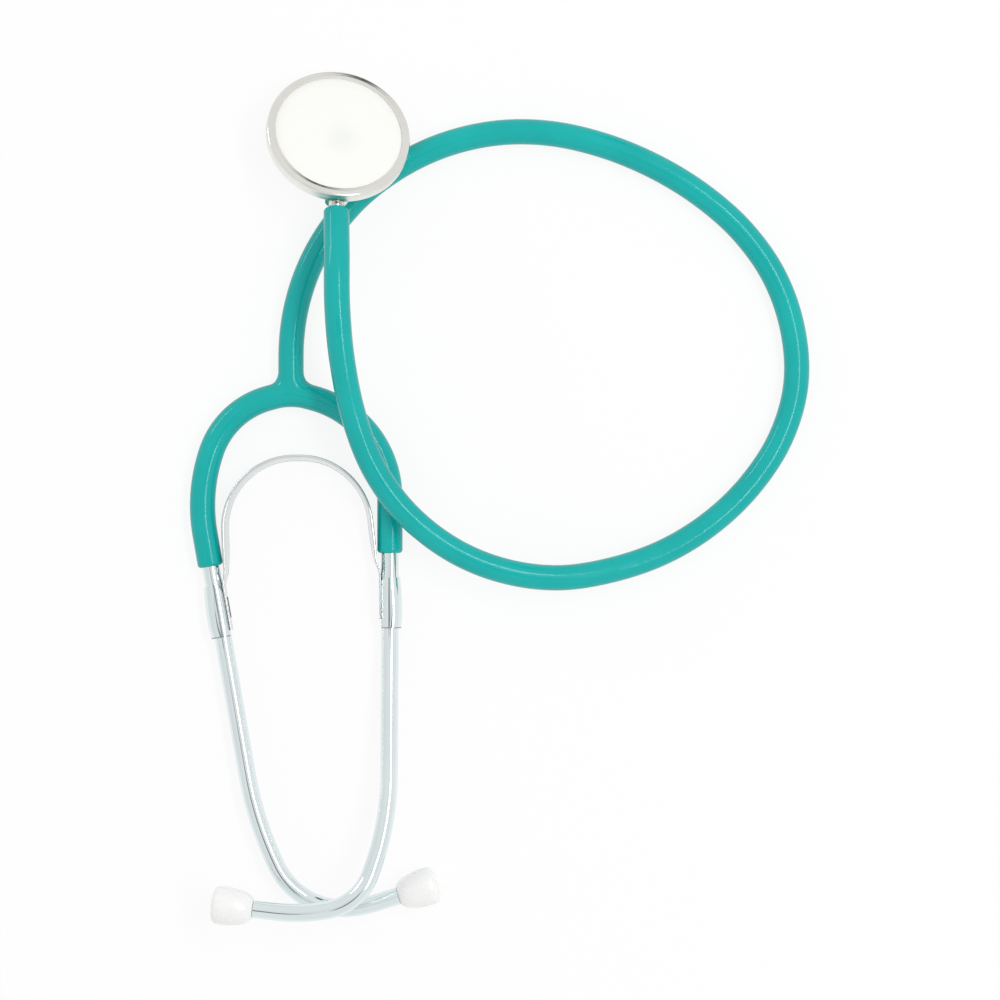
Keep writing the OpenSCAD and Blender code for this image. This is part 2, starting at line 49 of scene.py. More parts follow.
# Camera: straight above the table, as in the photograph, with a view that is VIEW_WIDTH wide
# at the height of the lying hose's axis
CAMERA_HEIGHT = 1000 * MM
CAMERA_X = 61.38 * MM
CAMERA_Y = -2 * MM
AXIS_Z = 4.2
HOSE_R = AXIS_Z * MM
VIEW_WIDTH = 330 * MM
SENSOR = 36
camera_data = bpy.data.cameras.new("camera")
camera_data.sensor_width = SENSOR
camera_data.lens = SENSOR * (CAMERA_HEIGHT - HOSE_R) / VIEW_WIDTH
camera_data.clip_start = 0.05
camera_data.clip_end = 20
camera = bpy.data.objects.new("camera", camera_data)
camera.location = (CAMERA_X, CAMERA_Y, CAMERA_HEIGHT)
scene.collection.objects.link(camera)
scene.camera = camera


# Node helpers
def new_material(name):
    material = bpy.data.materials.new(name)
    material.use_nodes = True
    tree = material.node_tree
    return material, tree, tree.nodes["Principled BSDF"]


def noise_of(tree, scale, detail, roughness, stretch=None):
    place = tree.nodes.new("ShaderNodeTexCoord")
    texture = tree.nodes.new("ShaderNodeTexNoise")
    texture.inputs["Scale"].default_value = scale
    texture.inputs["Detail"].default_value = detail
    texture.inputs["Roughness"].default_value = roughness
    source = place.outputs["Object"]
    if stretch:
        mapping = tree.nodes.new("ShaderNodeMapping")
        mapping.inputs["Scale"].default_value = stretch
        tree.links.new(source, mapping.inputs["Vector"])
        source = mapping.outputs["Vector"]
    tree.links.new(source, texture.inputs["Vector"])
    return texture.outputs["Fac"]


def ramp(tree, factor, low, high, start=0.3, end=0.7):
    made = tree.nodes.new("ShaderNodeValToRGB")
    made.color_ramp.elements[0].position = start
    made.color_ramp.elements[1].position = end
    made.color_ramp.elements[0].color = (*low, 1)
    made.color_ramp.elements[1].color = (*high, 1)
    tree.links.new(factor, made.inputs["Fac"])
    return made.outputs["Color"]


def spread(tree, factor, low, high, start=0.3, end=0.7):
    made = tree.nodes.new("ShaderNodeMapRange")
    made.inputs["From Min"].default_value = start
    made.inputs["From Max"].default_value = end
    made.inputs["To Min"].default_value = low
    made.inputs["To Max"].default_value = high
    tree.links.new(factor, made.inputs["Value"])
    return made.outputs["Result"]


def math_of(tree, kind, a, b=0):
    """What a Math node makes of two values, each a number or the output of a node."""
    made = tree.nodes.new("ShaderNodeMath")
    made.operation = kind
    for socket, value in zip(made.inputs, (a, b)):
        if isinstance(value, (int, float)):
            socket.default_value = value
        else:
            tree.links.new(value, socket)
    return made.outputs[0]


def bump(tree, shader, height, strength, distance):
    made = tree.nodes.new("ShaderNodeBump")
    made.inputs["Strength"].default_value = strength
    made.inputs["Distance"].default_value = distance
    tree.links.new(height, made.inputs["Height"])
    tree.links.new(made.outputs["Normal"], shader.inputs["Normal"])


# Colours of the materials: the two tones that each one drifts between
VINYL_TONES = (0.002, 0.408, 0.388), (0.004, 0.458, 0.432)
# Darker teal, painted as shade at the vinyl's outlines
VINYL_EDGE_SHADE = (0.001, 0.320, 0.305, 1)
PLASTIC_TONES = (0.945, 0.94, 0.925), (0.955, 0.95, 0.94)
FILM_TONES = (0.96, 0.965, 0.93), (0.895, 0.91, 0.875)
BRASS_TONES = (0.60, 0.43, 0.16), (0.72, 0.53, 0.24)
TUBE_TONES = (0.745, 0.820, 0.825), (0.795, 0.865, 0.868)
# Dark tones of the clips' cut sheet edges, also used on the clips as painted shade
CUT_EDGE_AND_SHADE_TONES = (0.26, 0.29, 0.29), (0.36, 0.39, 0.39)
HEAD_TONES = (0.765, 0.755, 0.715), (0.82, 0.81, 0.775)
KNURL_TONES = (0.83, 0.83, 0.775), (0.88, 0.88, 0.83)
STEEL_TONES = (0.66, 0.685, 0.69), (0.74, 0.765, 0.77)


# Blue-green vinyl of the hose, yoke and arms, with painted shade: its colour darkens where the
# surface turns away from the view, towards its outlines
def vinyl_material():
    material, tree, shader = new_material("vinyl")
    cloud = noise_of(tree, 45, 4, 0.55)
    body = ramp(tree, cloud, *VINYL_TONES)
    # Painted shade: darker colour where the surface faces away from the view
    facing = tree.nodes.new("ShaderNodeLayerWeight")
    facing.inputs["Blend"].default_value = 0.35
    edge = tree.nodes.new("ShaderNodeMix")
    edge.data_type = "RGBA"
    edge.inputs["B"].default_value = VINYL_EDGE_SHADE
    share = spread(tree, facing.outputs["Facing"], 0.0, 1.0, start=0.25, end=0.95)
    tree.links.new(share, edge.inputs["Factor"])
    tree.links.new(body, edge.inputs["A"])
    tree.links.new(edge.outputs["Result"], shader.inputs["Base Color"])
    haze = noise_of(tree, 240, 3, 0.6)
    tree.links.new(spread(tree, haze, 0.11, 0.18), shader.inputs["Roughness"])
    bump(tree, shader, noise_of(tree, 320, 2, 0.5), 0.07, 0.0004)
    shader.inputs["IOR"].default_value = 1.35
    return material


# Chrome and steel, with faint drawing lines where the grain is stretched
def chrome_material(name, tones, rough_low, rough_high, grain=(1, 1, 1)):
    material, tree, shader = new_material(name)
    cloud = noise_of(tree, 60, 3, 0.5)
    tree.links.new(ramp(tree, cloud, *tones), shader.inputs["Base Color"])
    fine = noise_of(tree, 700, 4, 0.6, stretch=grain)
    tree.links.new(spread(tree, fine, rough_low, rough_high), shader.inputs["Roughness"])
    bump(tree, shader, noise_of(tree, 260, 2, 0.5, stretch=grain), 0.05, 0.0002)
    shader.inputs["Metallic"].default_value = 1.0
    return material


# White plastic of the ear tips
def white_plastic():
    material, tree, shader = new_material("white_plastic")
    cloud = noise_of(tree, 90, 3, 0.5)
    tree.links.new(ramp(tree, cloud, *PLASTIC_TONES), shader.inputs["Base Color"])
    haze = noise_of(tree, 500, 3, 0.6)
    tree.links.new(spread(tree, haze, 0.24, 0.29), shader.inputs["Roughness"])
    bump(tree, shader, noise_of(tree, 900, 2, 0.5), 0.015, 0.0002)
    shader.inputs["Subsurface Weight"].default_value = 0.3
    shader.inputs["Subsurface Radius"].default_value = (1.0, 0.95, 0.85)
    shader.inputs["Subsurface Scale"].default_value = 0.002
    shader.inputs["Coat Weight"].default_value = 0.12
    shader.inputs["Coat Roughness"].default_value = 0.1
    return material


# Diaphragm: white film with a faint grey cloud round its middle
def film_material(middle):
    material, tree, shader = new_material("film")
    place = tree.nodes.new("ShaderNodeTexCoord")
    length = tree.nodes.new("ShaderNodeVectorMath")
    length.operation = "DISTANCE"
    length.inputs[1].default_value = middle
    tree.links.new(place.outputs["Object"], length.inputs[0])
    near = spread(tree, length.outputs["Value"], 1.0, 0.0, start=1.5 * MM, end=7.5 * MM)
    cloud = spread(tree, noise_of(tree, 110, 4, 0.6), 0.35, 1.0, start=0.38, end=0.60)
    # Greyer towards the middle of the film, in a faint cloud
    grey_middle = math_of(tree, "MULTIPLY", near, cloud)
    tree.links.new(ramp(tree, grey_middle, *FILM_TONES, start=0, end=1), shader.inputs["Base Color"])
    haze = noise_of(tree, 300, 3, 0.6)
    tree.links.new(spread(tree, haze, 0.3, 0.42), shader.inputs["Roughness"])
    bump(tree, shader, noise_of(tree, 130, 2, 0.5), 0.05, 0.0003)
    return material


# Brass of the tip inserts
def brass_material():
    material, tree, shader = new_material("brass")
    cloud = noise_of(tree, 300, 3, 0.5)
    tree.links.new(ramp(tree, cloud, *BRASS_TONES), shader.inputs["Base Color"])
    tree.links.new(spread(tree, cloud, 0.2, 0.35), shader.inputs["Roughness"])
    shader.inputs["Metallic"].default_value = 1.0
    return material


VINYL = vinyl_material()
TUBE_CHROME = chrome_material("tube_chrome", TUBE_TONES, 0.035, 0.075, grain=(1, 0.15, 1))
# Dark metal of the clips' cut edges, also laid on the clips as painted shade
CUT_EDGE_AND_PAINTED_SHADE = chrome_material("cut_edge_and_painted_shade", CUT_EDGE_AND_SHADE_TONES, 0.25, 0.40)
HEAD_CHROME = chrome_material("head_chrome", HEAD_TONES, 0.09, 0.16)
KNURL_CHROME = chrome_material("knurl_chrome", KNURL_TONES, 0.28, 0.38)
STRIP_STEEL = chrome_material("strip_steel", STEEL_TONES, 0.12, 0.22, grain=(1, 1, 0.2))
WHITE = white_plastic()
BRASS = brass_material()


def dress(piece, material):
    piece.data.materials.clear()
    piece.data.materials.append(material)


# Hose: the route of the part's own source, in millimetres. It leaves the yoke's stem, runs under
# the chestpiece, round the loop and back over itself, and ends on the chestpiece's stem
CHEST = Vector((7.4, 115.0, 8.46227)) * MM
YAW, RISE, ROLL = (math.radians(a) for a in (2.0, 24.5, 12.5))
LIE = Matrix.Rotation(YAW, 4, "Z") @ Matrix.Rotation(-RISE, 4, "X")
HEAD = Matrix.Translation(CHEST) @ LIE @ Matrix.Rotation(ROLL, 4, "Y")
HOSE_LIE = Matrix.Translation(CHEST) @ LIE
STEM_WAY = (LIE @ Vector((0, -1, 0, 0))).to_3d()
HOSE_START = 24.2 * MM
HOSE_END_L = 15.8 * MM
YOKE_X = -7.6
YOKE_Y = 33.6
YOKE = Vector((YOKE_X, YOKE_Y, AXIS_Z)) * MM
YOKE_STEM_L = 11.4 * MM
ROUTE = [
    (-5.5, 63, 4.2), (1, 80, 4.2), (11.8, 95.1, 4.2), (25.4, 106.4, 4.2), (41.7, 114.7, 4.2),
    (59.5, 119, 4.2), (77.5, 119, 4.2), (95.5, 115, 4.2), (112.5, 108, 4.2), (128, 98.5, 4.2),
    (141.5, 86.5, 4.2), (152, 71.5, 4.2), (158, 54, 4.2), (159, 36, 4.2), (154, 18.5, 4.2),
    (144, 3, 4.2), (131, -9.5, 4.8), (115.5, -19, 6.1), (98, -25, 8.2), (80, -27.5, 10.6),
    (62, -25, 12.8), (45.5, -18, 14.4), (31, -6.5, 15.7), (20.5, 8, 17.8), (14, 25, 21.6),
    (10.5, 42.5, 26), (9, 60, 28.4),
]
hose_from = YOKE + Vector((0, YOKE_STEM_L, 0))
hose_to = CHEST + (HOSE_START + HOSE_END_L) * STEM_WAY
points = [hose_from] + [Vector(p) * MM for p in ROUTE] + [hose_to]


def hose_curve():
    data = bpy.data.curves.new("hose", "CURVE")
    data.dimensions = "3D"
    data.bevel_depth = HOSE_R
    data.bevel_resolution = 12
    data.resolution_u = 14
    data.use_fill_caps = False
    data.twist_mode = "MINIMUM"
    spline = data.splines.new("BEZIER")
    spline.bezier_points.add(len(points) - 1)
    last = len(points) - 1
    for i, point in enumerate(points):
        if i == 0:
            way = Vector((0, 1, 0))
        elif i == last:
            way = -STEM_WAY
        else:
            way = (points[i + 1] - points[i - 1]).normalized()
        before = (point - points[max(i - 1, 0)]).length / 3
        after = (points[min(i + 1, last)] - point).length / 3
        made = spline.bezier_points[i]
        made.co = point
        made.handle_left_type = made.handle_right_type = "FREE"
        made.handle_left = point - way * before
        made.handle_right = point + way * after
    hose = bpy.data.objects.new("hose", data)
    scene.collection.objects.link(hose)
    return hose


hose = hose_curve()
dress(hose, VINYL)
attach(hose, "yoke_and_hose")
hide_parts("chest_hose")


# Mesh helpers: rings of points round frames of place, along, across and up
def mesh_piece(name, vertices, faces, material, sharp=35):
    data = bpy.data.meshes.new(name)
    data.from_pydata([tuple(v) for v in vertices], [], faces)
    data.validate()
    data.update()
    made = bmesh.new()
    made.from_mesh(data)
    bmesh.ops.recalc_face_normals(made, faces=made.faces)
    made.to_mesh(data)
    made.free()
    data.shade_smooth()
    data.set_sharp_from_angle(angle=math.radians(sharp))
    piece = bpy.data.objects.new(name, data)
    scene.collection.objects.link(piece)
    piece.data.materials.append(material)
    return piece


def put(piece, matrix):
    """Places a piece through its mesh, so that its object stays at the origin."""
    piece.data.transform(matrix)
    return piece


def band(a, b, n):
    """Faces between ring a and ring b, with n vertices in each."""
    return [(a * n + k, a * n + (k + 1) % n, b * n + (k + 1) % n, b * n + k) for k in range(n)]


def loop_of_rings(rings):
    """Vertices and faces of rings that are joined in a row and back to the first."""
    n = len(rings[0])
    count = len(rings)
    vertices = [v for ring in rings for v in ring]
    return vertices, [face for i in range(count) for face in band(i, (i + 1) % count, n)]


def capped_rings(rings):
    """Vertices and faces of rings that are joined in a row and closed at both ends."""
    n = len(rings[0])
    vertices = [v for ring in rings for v in ring]
    faces = [face for i in range(len(rings) - 1) for face in band(i, i + 1, n)]
    last = (len(rings) - 1) * n
    return vertices, faces + [tuple(range(n)), tuple(range(last, last + n))]


def turned(profile, sides):
    """Rings of a closed outline of radius and height, turned about Z."""
    angles = [2 * math.pi * k / sides for k in range(sides)]
    return [[Vector((r * math.cos(a), r * math.sin(a), z)) for r, z in profile] for a in angles]


def level_frame(x, y, heading):
    """A frame on the level of the lying hose's axis, at x and y in millimetres."""
    h = math.radians(heading)
    return (
        Vector((x, y, AXIS_Z)) * MM,
        Vector((math.sin(h), -math.cos(h), 0)),
        Vector((math.cos(h), math.sin(h), 0)),
        Vector((0, 0, 1)),
    )


def ahead(f, d):
    return (f[0] + f[1] * d, f[1], f[2], f[3])


def aside(f, d):
    return (f[0] + f[2] * d, f[1], f[2], f[3])


def round_bend(f, r, turn, lift):
    k = -1 if turn < 0 else 1
    a = math.radians(turn)
    inward = (f[3] if lift else f[2]) * k
    after = inward * math.cos(a) - f[1] * k * math.sin(a)
    place = f[0] + (inward - after) * r
    along = f[1] * math.cos(a) + inward * k * math.sin(a)
    return (place, along, f[2], after * k) if lift else (place, along, after * k, f[3])


def frames_along(f, path, step=2.0, run_step=4 * MM):
    """Frames along a path of straight runs, each followed by a bend: run, radius, turn, lift."""
    rows = []
    for run, r, turn, lift in path:
        if run > 0:
            parts = max(1, math.ceil(run / run_step))
            rows += [ahead(f, run * i / parts) for i in range(parts)]
            f = ahead(f, run)
        if turn:
            parts = max(1, math.ceil(abs(turn) / step))
            rows += [round_bend(f, r, turn * i / parts, lift) for i in range(parts)]
            f = round_bend(f, r, turn, lift)
    rows.append(f)
    return rows


def ring_at(f, r, sides=48):
    angles = [2 * math.pi * k / sides for k in range(sides)]
    return [f[0] + f[2] * (r * math.cos(a)) + f[3] * (r * math.sin(a)) for a in angles]


# Yoke, arms and ear tubes: the sizes of the part's own source
STUB_L = 7.7 * MM
TUBE_R = 2.9 * MM
TUBE_WALL = 0.6 * MM
GRIP = 10 * MM
CLIP_RUN = 27 * MM
BORE_R = 2.4 * MM
BRANCH_ANGLE = 75
ARM_END_R = 1.2 * MM
ARM_END_STEPS = 6
MOUTH_R = TUBE_R + 0.05 * MM
MOUTH_LEAD = 0.03 * MM
MOUTH_EDGE = 0.05 * MM
MOUTH_LEAD_L = 0.4 * MM
BORE_STEP_L = 0.5 * MM
BORE_CLEAR = 2 * MM
TUBE_LEAD = 0.15 * MM
left_root = ahead(level_frame(YOKE_X, YOKE_Y, -BRANCH_ANGLE), STUB_L)
right_root = ahead(level_frame(YOKE_X, YOKE_Y, BRANCH_ANGLE), STUB_L)
ARM_LEFT = [(0, 27.3 * MM, 56, False), (0, 55 * MM, 29, False), (10.8 * MM, 0, 0, False)]
ARM_RIGHT = [(0, 34 * MM, -75, False), (18.3 * MM, 0, 0, False)]
arm_left_rows = frames_along(left_root, ARM_LEFT)
arm_right_rows = frames_along(right_root, ARM_RIGHT)
left_end, right_end = arm_left_rows[-1], arm_right_rows[-1]
TIP_RUN = 7 * MM
TUBE_LEFT = [
    (GRIP + CLIP_RUN, 40 * MM, 1.4, True),
    (41.3 * MM, 116 * MM, 15.8, False), (0, 24.6 * MM, 71.2, False), (0, 46 * MM, 10.8, False),
    (TIP_RUN, 0, 0, False),
]
TUBE_RIGHT = [
    (GRIP + CLIP_RUN, 40 * MM, 9.5, True),
    (39 * MM, 94 * MM, -20.4, False), (0, 18.4 * MM, -60.1, False), (0, 60 * MM, -16.3, False),
    (TIP_RUN, 0, 0, False),
]
tube_left_rows = frames_along(ahead(left_end, -GRIP), TUBE_LEFT)
tube_right_rows = frames_along(ahead(right_end, -GRIP), TUBE_RIGHT)


def arm_piece(name, rows):
    mouth = rows[-1]
    rings = [ring_at(f, HOSE_R) for f in rows[:-1]]
    for step in range(ARM_END_STEPS + 1):
        a = math.radians(90 * step / ARM_END_STEPS)
        f = ahead(mouth, ARM_END_R * (math.sin(a) - 1))
        rings.append(ring_at(f, HOSE_R - ARM_END_R * (1 - math.cos(a))))
    rings.append(ring_at(ahead(mouth, -MOUTH_EDGE), MOUTH_R + MOUTH_LEAD))
    rings.append(ring_at(ahead(mouth, -MOUTH_LEAD_L), MOUTH_R))
    rings.append(ring_at(ahead(mouth, -GRIP), MOUTH_R))
    rings.append(ring_at(ahead(mouth, -GRIP - BORE_STEP_L), BORE_R))
    for f in reversed(rows[:-1]):
        if (f[0] - mouth[0]).length > GRIP + BORE_CLEAR:
            rings.append(ring_at(f, BORE_R))
    return mesh_piece(name, *loop_of_rings(rings), VINYL)


def tube_piece(name, rows):
    outer = [ring_at(f, TUBE_R) for f in rows]
    outer[0] = ring_at(ahead(rows[0], TUBE_LEAD), TUBE_R)
    outer[-1] = ring_at(ahead(rows[-1], -TUBE_LEAD), TUBE_R)
    ends = [ring_at(rows[-1], TUBE_R - TUBE_LEAD), ring_at(rows[-1], TUBE_R - TUBE_WALL)]
    inner = [ring_at(f, TUBE_R - TUBE_WALL) for f in reversed(rows[:-1])]
    start = [ring_at(rows[0], TUBE_R - TUBE_LEAD)]
    return mesh_piece(name, *loop_of_rings(start + outer + ends + inner), TUBE_CHROME)


arm_left = arm_piece("arm_left_moulding", arm_left_rows)
arm_right = arm_piece("arm_right_moulding", arm_right_rows)
tube_left = tube_piece("ear_tube_left_drawn", tube_left_rows)
tube_right = tube_piece("ear_tube_right_drawn", tube_right_rows)

for piece, cad, body, root, mouth in (
    (arm_left, "arm_left", "ear_left", left_root, left_end),
    (arm_right, "arm_right", "ear_right", right_root, right_end),
):
    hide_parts(cad)
    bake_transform(piece)
for piece, cad, body in (
    (tube_left, "ear_tube_left", "ear_left"),
    (tube_right, "ear_tube_right", "ear_right"),
):
    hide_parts(cad)
    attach(piece, body)

# Yoke: three round branches that run smoothly into one another
CENTRE = Vector((YOKE_X, YOKE_Y)) * MM
BRANCH_OUT = math.sin(math.radians(BRANCH_ANGLE))
BRANCH_DOWN = -math.cos(math.radians(BRANCH_ANGLE))
BRANCHES = [
    (Vector((0, 1)), YOKE_STEM_L),
    (Vector((-BRANCH_OUT, BRANCH_DOWN)), STUB_L),
    (Vector((BRANCH_OUT, BRANCH_DOWN)), STUB_L),
]
CROTCH = 3.0 * MM
UNDER = 2.4 * MM
BRANCH_PAST = 2 * MM
VOXEL = 0.4 * MM
FLAT_SLOPE = 0.05


def from_branch(x, y, way):
    off = Vector((x, y)) - CENTRE
    return (off - way * max(0, off.dot(way))).length


def smooth_least(a, b, reach):
    """The lesser of two values, rounded where they differ by less than the reach."""
    h = max(reach - abs(a - b), 0) / reach
    return min(a, b) - h * h * reach / 4


def yoke_field(p):
    """How far a point is outside the yoke's surface."""
    near = [from_branch(p[0], p[1], way) for way, _ in BRANCHES]
    flat = smooth_least(smooth_least(near[0], near[1], CROTCH), near[2], CROTCH)
    if min(near) == near[0]:
        flat = smooth_least(smooth_least(near[1], near[2], CROTCH), near[0], CROTCH)
    elif p[1] < CENTRE[1]:
        flat = smooth_least(near[1], near[2], UNDER)
    return math.hypot(max(flat, 0), p[2] - HOSE_R) - HOSE_R


def settle(p, rounds=6, h=0.01 * MM):
    """Moves a point onto the yoke's surface."""
    for _ in range(rounds):
        value = yoke_field(p)
        slope = Vector([
            (yoke_field(p + axis) - yoke_field(p - axis)) / (2 * h)
            for axis in (Vector((h, 0, 0)), Vector((0, h, 0)), Vector((0, 0, h)))
        ])
        if slope.length_squared < FLAT_SLOPE:
            break
        p = p - slope * (value / slope.length_squared)
    return p


def yoke_piece():
    vertices, faces = [], []
    for way, length in BRANCHES:
        along = way.to_3d()
        across = along.cross(Vector((0, 0, 1)))
        f = (CENTRE.to_3d() + Vector((0, 0, HOSE_R)), along, across, Vector((0, 0, 1)))
        steps = (0, length / 2, length + BRANCH_PAST)
        made = capped_rings([ring_at(ahead(f, d), HOSE_R) for d in steps])
        faces += [tuple(i + len(vertices) for i in face) for face in made[1]]
        vertices += made[0]
    data = bpy.data.meshes.new("yoke_branches")
    data.from_pydata([tuple(v) for v in vertices], [], faces)
    rough = bpy.data.objects.new("yoke_branches", data)
    scene.collection.objects.link(rough)
    remesh = rough.modifiers.new("voxels", "REMESH")
    remesh.mode = "VOXEL"
    remesh.voxel_size = VOXEL
    bpy.context.view_layer.update()
    evaluated = rough.evaluated_get(bpy.context.evaluated_depsgraph_get())
    final = bpy.data.meshes.new_from_object(evaluated)
    bpy.data.objects.remove(rough)
    made = bmesh.new()
    made.from_mesh(final)
    for vertex in made.verts:
        vertex.co = settle(vertex.co.copy())
    for way, length in BRANCHES:
        everything = made.verts[:] + made.edges[:] + made.faces[:]
        along = way.to_3d()
        place = CENTRE.to_3d() + along * length
        bmesh.ops.bisect_plane(
            made, geom=everything, plane_co=place, plane_no=along, clear_outer=True
        )
    bmesh.ops.holes_fill(made, edges=[e for e in made.edges if e.is_boundary], sides=0)
    bmesh.ops.triangulate(made, faces=[face for face in made.faces if len(face.verts) > 4])
    made.to_mesh(final)
    made.free()
    vertices = [v.co for v in final.vertices]
    faces = [tuple(p.vertices) for p in final.polygons]
    piece = mesh_piece("yoke_moulding", vertices, faces, VINYL, sharp=50)
    bpy.data.meshes.remove(final)
    return piece


yoke = yoke_piece()
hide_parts("yoke_junction")
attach(yoke, "yoke_and_hose")


# Straight end of the hose over the stem, with a rounded mouth
COLLAR_START = 1.1 * MM
COLLAR_END_R = 0.5 * MM
COLLAR_LEAD = 0.3 * MM
COLLAR_ROW = 3 * MM
COLLAR_STEPS = 6


def collar_piece():
    start, end_r = COLLAR_START, COLLAR_END_R
    angles = [math.radians(90 * k / COLLAR_STEPS) for k in range(COLLAR_STEPS + 1)]
    profile = [
        (HOSE_R - end_r * (1 - math.sin(a)), start + end_r * (1 - math.cos(a))) for a in angles
    ]
    profile += [(HOSE_R, start + COLLAR_ROW), (HOSE_R, HOSE_END_L), (BORE_R, HOSE_END_L)]
    profile += [(BORE_R, start + COLLAR_LEAD), (BORE_R + COLLAR_LEAD, start)]
    piece = mesh_piece("hose_collar", *loop_of_rings(turned(profile, 48)), VINYL)
    on_stem = Matrix.Translation((0, -HOSE_START, 0)) @ Matrix.Rotation(math.radians(90), 4, "X")
    return put(piece, HOSE_LIE @ on_stem)


collar = collar_piece()
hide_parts("hose_end")
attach(collar, "yoke_and_hose")


# Chestpiece: retaining ring with its knurls and the low ridge of its rim, and the film with its
# raised middle
RING_R = 23.6 * MM
RING_BASE = 2.9 * MM
RING_TOP = 7.2 * MM
RIM_W = 2.7 * MM
RIM_R = 0.6 * MM
RIM_T = 0.6 * MM
CREST_R = 21.85 * MM
CREST_FALL = 0.13 * MM
CREST_DIP = 0.11 * MM
CREST_STEPS = 8
KNURLS = 160
KNURL_DEPTH = 0.12 * MM
KNURL_ROWS = 5
BAND_DROP = 0.9 * MM
BAND_LEAD = 0.15 * MM
ROUND_ANGLE = 72
ROUND_STEPS = 7
BODY_R = 22.15 * MM
BODY_CLEAR = 0.05 * MM
SEAT_Z = 6.05 * MM
FILM_T = 0.5 * MM
FILM_CLEAR = 0.03 * MM
FILM_RAISED = 0.15 * MM
# In millimetres: the end of the raised middle, how far its edge slopes, and the rows of the film
FILM_FLAT_R = 18.2
FILM_SLOPE = 1.0
FILM_ROWS = (0, 8, 14, FILM_FLAT_R)
# Where the film's faint grey cloud is centred, a little off its middle
GREY_MIDDLE_X = 1.3 * MM
GREY_MIDDLE_Y = -2.0 * MM
WELD = 0.001 * MM
LEAST_AREA = 1e-14


def ring_piece():
    inner_r = BODY_R + BODY_CLEAR
    band_top = RING_TOP - RIM_R - BAND_DROP
    lead = BAND_LEAD
    round_r = RING_R - RIM_R
    face_r = RING_R - RIM_W
    rim_top = RING_TOP - CREST_FALL
    angles = [math.radians(ROUND_ANGLE * k / ROUND_STEPS) for k in range(ROUND_STEPS + 1)]
    top = [
        (round_r + RIM_R * math.cos(a), rim_top - RIM_R + RIM_R * math.sin(a)) for a in angles
    ]
    for k in range(-CREST_STEPS, CREST_STEPS + 1):
        t = abs(k) / CREST_STEPS
        far, drop = (round_r, CREST_FALL) if k < 0 else (face_r, CREST_DIP)
        height = RING_TOP - drop * (1 - math.cos(math.pi * t)) / 2
        top.append((CREST_R + (far - CREST_R) * t, height))
    top += [(face_r, RING_TOP - RIM_T), (inner_r, RING_TOP - RIM_T)]
    rings = []
    for k in range(2 * KNURLS):
        a = math.pi * k / KNURLS
        r = RING_R - (k % 2) * KNURL_DEPTH
        outline = [(inner_r, RING_BASE), (r - lead, RING_BASE), (r, RING_BASE + lead)]
        outline += [(r, band_top - lead), (RING_R - KNURL_DEPTH, band_top)] + top
        rings.append([Vector((p * math.cos(a), p * math.sin(a), z)) for p, z in outline])
    piece = mesh_piece("retaining_ring_knurled", *loop_of_rings(rings), HEAD_CHROME, sharp=32)
    put(piece, HEAD)
    piece.data.materials.append(KNURL_CHROME)
    for i, face in enumerate(piece.data.polygons):
        face.material_index = 1 if i % len(rings[0]) < KNURL_ROWS else 0
    return piece


def film_piece():
    edge = SEAT_Z + FILM_T
    film_r = BODY_R - FILM_CLEAR
    outline = [(r * MM, edge + FILM_RAISED) for r in FILM_ROWS]
    for t in (0.25, 0.5, 0.75, 1):
        height = edge + FILM_RAISED * (1 + math.cos(math.pi * t)) / 2
        outline.append(((FILM_FLAT_R + FILM_SLOPE * t) * MM, height))
    outline += [(film_r, edge), (film_r, SEAT_Z), (0, SEAT_Z)]
    vertices, faces = loop_of_rings(turned(outline, 96))
    grey_middle = HEAD @ Vector((GREY_MIDDLE_X, GREY_MIDDLE_Y, edge))
    piece = mesh_piece("diaphragm_film", vertices, faces, film_material(grey_middle))
    weld = bmesh.new()
    weld.from_mesh(piece.data)
    bmesh.ops.remove_doubles(weld, verts=weld.verts[:], dist=WELD)
    loose = [face for face in weld.faces if face.calc_area() < LEAST_AREA]
    bmesh.ops.delete(weld, geom=loose, context="FACES")
    weld.to_mesh(piece.data)
    weld.free()
    return put(piece, HEAD)


ring = ring_piece()
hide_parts("retaining_ring")
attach(ring, "ring")
film = film_piece()
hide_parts("diaphragm")
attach(film, "diaphragm")

# Leaf spring in two halves that meet at its top, each bending towards its ear tube. Its turns and
# leans are in degrees, from the sizes of the part's own source
STRIP_T = 1 * MM
STRIP_W = 6.5 * MM
STRIP_LEAN = math.radians(11)
STRIP_THIN = 0.5 * MM
STRIP_CUT = 3.5 * MM
STRIP_FLAT_SHARE = 0.6
STRIP_EASE_L = 16 * MM
STRIP_GAP = 0.1 * MM
KNEE_GAP = 0.2 * MM
CORNER_SHARE = 0.35
SHOULDER_R = 23 * MM
KINK_R = 8 * MM
STEP = 22
LEFT_LEAN = 2
RIGHT_LEAN = 6.5
SEAT_L = 19 * MM
SEAT_START = 6.3 * MM
SPRING_Y = 11.9 * MM
LEFT_HEADING = 10
strip_reach = TUBE_R + STRIP_GAP + STRIP_T / 2
strip_offset = strip_reach * math.cos(STRIP_LEAN)
knee_offset = HOSE_R + KNEE_GAP + STRIP_T / 2
knee_start = SEAT_START - (knee_offset - strip_offset) / math.tan(math.radians(STEP))
left_seat = aside(ahead(left_end, SEAT_START), strip_offset)
left_knee = aside(ahead(left_end, knee_start), knee_offset)
right_knee = aside(ahead(right_end, knee_start), -knee_offset)
left_turn = STEP - (LEFT_HEADING - LEFT_LEAN)
right_turn = STEP - RIGHT_LEAN


def half_bend(r, turn):
    return r * math.tan(math.radians(turn) / 2)


def corner_x(knee, lean):
    return knee[0].x - (SPRING_Y - knee[0].y) * math.tan(math.radians(lean))


